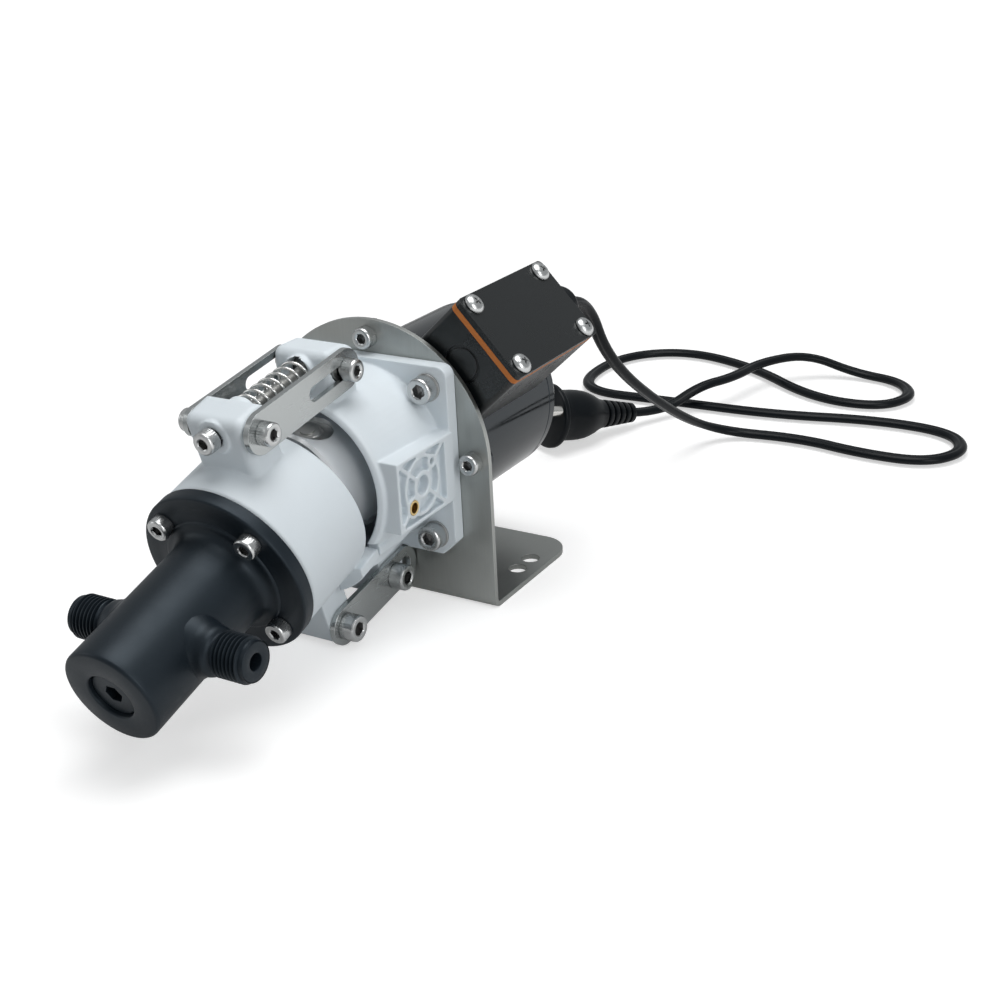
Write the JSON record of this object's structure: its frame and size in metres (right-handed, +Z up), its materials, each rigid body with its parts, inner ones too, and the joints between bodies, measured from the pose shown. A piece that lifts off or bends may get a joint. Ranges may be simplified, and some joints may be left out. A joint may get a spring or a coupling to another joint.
{
  "type": "metering pump",
  "caption": "Ceramic piston metering pump with a tilting head, spring loaded stroke adjuster, drum drive, motor on an L bracket, terminal box and mains cord.",
  "frame": {"origin": "middle of the four foot holes on the underside of the bracket's foot", "axes": "+Z up, +Y to the rear along the motor shaft, +X to the side with the side boss and the strap screws"},
  "size_m": [0.1845, 0.3958, 0.1011],
  "materials": {
    "black_plastic": "machined black",
    "box_black": "satin black",
    "bracket_steel": "fine ground stainless",
    "brass": "plain",
    "ceramic": "ground",
    "copper_wire": "enamelled",
    "cord_black": "satin",
    "laminations": "stacked sheet",
    "motor_black": "gloss black",
    "orange_rubber": "foam",
    "plain_steel": "plain turned",
    "plated_pin": "plated",
    "polished_steel": "polished",
    "screw_steel": "bright turned",
    "seal_rubber": "plain",
    "spring_steel": "bright wire",
    "strap_steel": "bright ground",
    "white_plastic": "moulded"
  },
  "bodies": {
    "frame": {"bracket": "bracket_steel", "motor_front_bell": "motor_black", "motor_shell": "motor_black", "motor_rear_bell": "motor_black", "motor_bearings": "plain_steel", "stator": "laminations", "windings": "copper_wire", "motor_screws": "screw_steel", "base_housing": "white_plastic", "base_screws": "screw_steel", "base_washers": "plain_steel", "brass_insert": "brass", "lower_rear_screw": "screw_steel", "box_body": "box_black", "box_gasket": "orange_rubber", "box_lid": "box_black", "lid_screws": "screw_steel", "cord_gland": "cord_black", "cord": "cord_black", "plug_body": "cord_black", "plug_pins": "plated_pin"},
    "head": {"cup_housing": "white_plastic", "head_block": "black_plastic", "flange_screws": "screw_steel", "ceramic_liner": "ceramic", "lip_seals": "seal_rubber", "end_plug": "black_plastic"},
    "drive": {"drive_shaft": "plain_steel", "rotor": "laminations", "drum": "polished_steel", "drum_set_screw": "screw_steel", "bearing_race": "plain_steel", "bearing_ball": "plain_steel", "drive_pin": "plain_steel"},
    "piston_set": {"piston_cap": "plain_steel", "piston": "ceramic"},
    "upper_link": {"upper_strap_near": "strap_steel", "upper_strap_far": "strap_steel", "front_trunnion": "plain_steel", "upper_front_screw": "screw_steel", "adjusting_spring": "spring_steel"},
    "adjuster": {"adjusting_screw": "screw_steel"},
    "rear_nut": {"rear_trunnion": "plain_steel", "upper_rear_screw": "screw_steel"},
    "lower_link": {"lower_strap_near": "strap_steel", "lower_strap_far": "strap_steel", "lower_front_screw": "screw_steel"}
  },
  "joints": [
    {"name": "drive_spin", "type": "hinge", "parent": "frame", "child": "drive", "pos_m": [0, -0.0306, 0.05], "axis": [0, -1, 0], "continuous": true},
    {"name": "head_tilt", "type": "hinge", "parent": "frame", "child": "head", "pos_m": [0, -0.0652, 0.03], "axis": [-1, 0, 0], "range_deg": [0, 16.5], "deforming": ["adjusting_spring"]},
    {"name": "piston_spin", "type": "hinge", "parent": "head", "child": "piston_set", "pos_m": [0, -0.0681, 0.05], "axis": [0, -0.9588, -0.284], "continuous": true},
    {"name": "upper_link_swing", "type": "hinge", "parent": "head", "child": "upper_link", "pos_m": [0, -0.0994, 0.0798], "axis": [1, 0, 0], "range_deg": [0, 5]},
    {"name": "adjuster_turn", "type": "hinge", "parent": "upper_link", "child": "adjuster", "pos_m": [0, -0.0994, 0.0798], "axis": [0, 0.9886, 0.1504], "continuous": true},
    {"name": "rear_nut_turn", "type": "hinge", "parent": "frame", "child": "rear_nut", "pos_m": [0, -0.0593, 0.0859], "axis": [-1, 0, 0], "range_deg": [0, 13]},
    {"name": "lower_link_swing", "type": "hinge", "parent": "head", "child": "lower_link", "pos_m": [0, -0.0707, 0.0065], "axis": [1, 0, 0], "range_deg": [0, 11]}
  ],
  "couplings": [
    {"joint": "piston_spin", "follows": "drive_spin", "ratio": 1},
    {"joint": "upper_link_swing", "follows": "head_tilt", "ratio": 0.27955},
    {"joint": "rear_nut_turn", "follows": "head_tilt", "ratio": 0.72045},
    {"joint": "lower_link_swing", "follows": "head_tilt", "ratio": 0.6311},
    {"joint": "adjuster_turn", "follows": "head_tilt", "ratio": 498}
  ]
}
